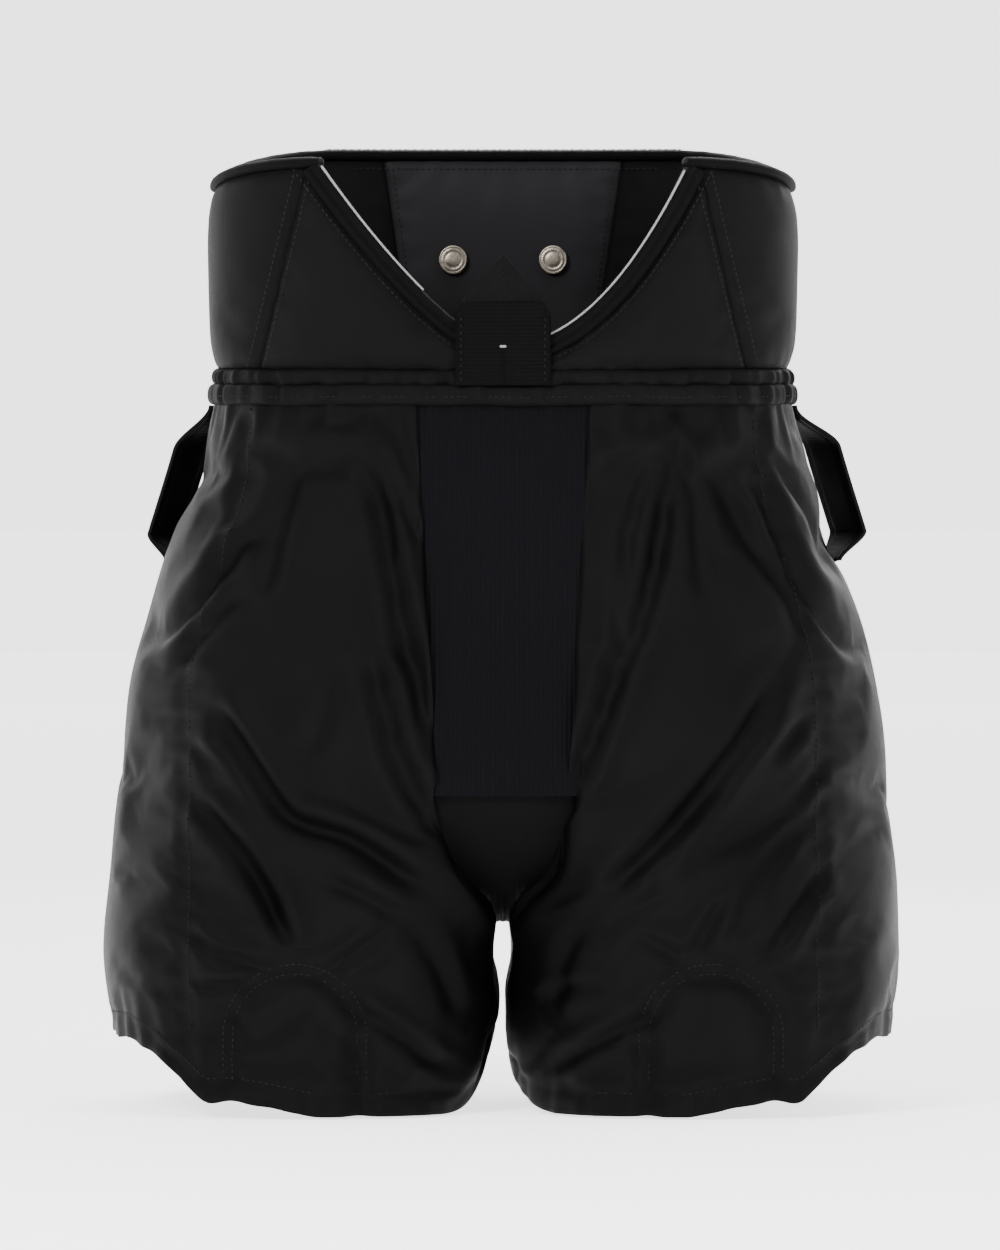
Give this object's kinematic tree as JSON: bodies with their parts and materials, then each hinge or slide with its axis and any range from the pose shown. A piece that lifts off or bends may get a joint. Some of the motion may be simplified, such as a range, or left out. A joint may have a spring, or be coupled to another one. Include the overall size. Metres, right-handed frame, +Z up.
{
  "type": "hockey pants",
  "caption": "Goalkeeper's padded hockey pants: high notched belt with a pull tab, stretch front panel, hip loops and two short wide legs that swing at the hips.",
  "frame": {"origin": "centre of the bounding box in plan, at the height of the lowest hem", "axes": "+Z up, the front faces -Y, +X is the wearer's left"},
  "size_m": [0.5342, 0.3004, 0.65],
  "materials": {
    "shell_nylon": "fine woven nylon with a soft satin sheen, creased",
    "belt_nylon": "padded satin nylon",
    "rib_knit": "dull fine rib knit, bluish black",
    "pad_foam": "matt covered foam",
    "edge_binding": "folded binding tape",
    "hem_elastic": "gathered elastic tape",
    "webbing": "ribbed polyester webbing",
    "button_metal": "aged nickel on brass, fine knurl"
  },
  "bodies": {
    "body": {"belt_front_left": "belt_nylon", "belt_side_left": "belt_nylon", "notch_binding_left": "edge_binding", "front_yoke_left": "shell_nylon", "side_yoke_left": "shell_nylon", "back_yoke_left": "shell_nylon", "belly_pad_left": "pad_foam", "hip_pad_left": "pad_foam", "seat_pad_left": "pad_foam", "hip_flex_left": "shell_nylon", "hip_loop_left": "webbing", "back_button_left_cap": "button_metal", "back_button_left_stud": "button_metal", "front_button_left_inner_cap": "button_metal", "front_button_left_inner_stud": "button_metal", "front_button_left_outer_cap": "button_metal", "front_button_left_outer_stud": "button_metal", "belt_front_right": "belt_nylon", "belt_side_right": "belt_nylon", "notch_binding_right": "edge_binding", "front_yoke_right": "shell_nylon", "side_yoke_right": "shell_nylon", "back_yoke_right": "shell_nylon", "belly_pad_right": "pad_foam", "hip_pad_right": "pad_foam", "seat_pad_right": "pad_foam", "hip_flex_right": "shell_nylon", "hip_loop_right": "webbing", "back_button_right_cap": "button_metal", "back_button_right_stud": "button_metal", "front_button_right_inner_cap": "button_metal", "front_button_right_inner_stud": "button_metal", "front_button_right_outer_cap": "button_metal", "front_button_right_outer_stud": "button_metal", "belt_back": "belt_nylon", "top_binding": "edge_binding", "belt_roll": "belt_nylon", "waistband": "belt_nylon", "knit_panel": "rib_knit", "crotch_gusset": "rib_knit", "tailbone_pad": "pad_foam"},
    "left_leg": {"thigh_front_left": "shell_nylon", "arch_insert_left": "shell_nylon", "thigh_side_left": "shell_nylon", "thigh_back_left": "shell_nylon", "inseam_panel_left": "shell_nylon", "hem_band_left": "shell_nylon", "hem_elastic_left": "hem_elastic", "thigh_guard_left": "pad_foam"},
    "right_leg": {"thigh_front_right": "shell_nylon", "arch_insert_right": "shell_nylon", "thigh_side_right": "shell_nylon", "thigh_back_right": "shell_nylon", "inseam_panel_right": "shell_nylon", "hem_band_right": "shell_nylon", "hem_elastic_right": "hem_elastic", "thigh_guard_right": "pad_foam"},
    "pull_tab": {"tab_loop": "webbing", "tab_wrap": "webbing"}
  },
  "joints": [
    {"name": "left_hip", "type": "hinge", "parent": "body", "child": "left_leg", "pos_m": [0.135, 0, 0.27], "axis": [-1, 0, 0], "range_deg": [-10, 35], "deforming": ["hip_flex_left"]},
    {"name": "right_hip", "type": "hinge", "parent": "body", "child": "right_leg", "pos_m": [-0.135, 0, 0.27], "axis": [-1, 0, 0], "range_deg": [-10, 35], "deforming": ["hip_flex_right"]},
    {"name": "tab_fold", "type": "hinge", "parent": "body", "child": "pull_tab", "pos_m": [0, -0.1361, 0.4883], "axis": [1, 0, 0], "range_deg": [0, 90]}
  ]
}
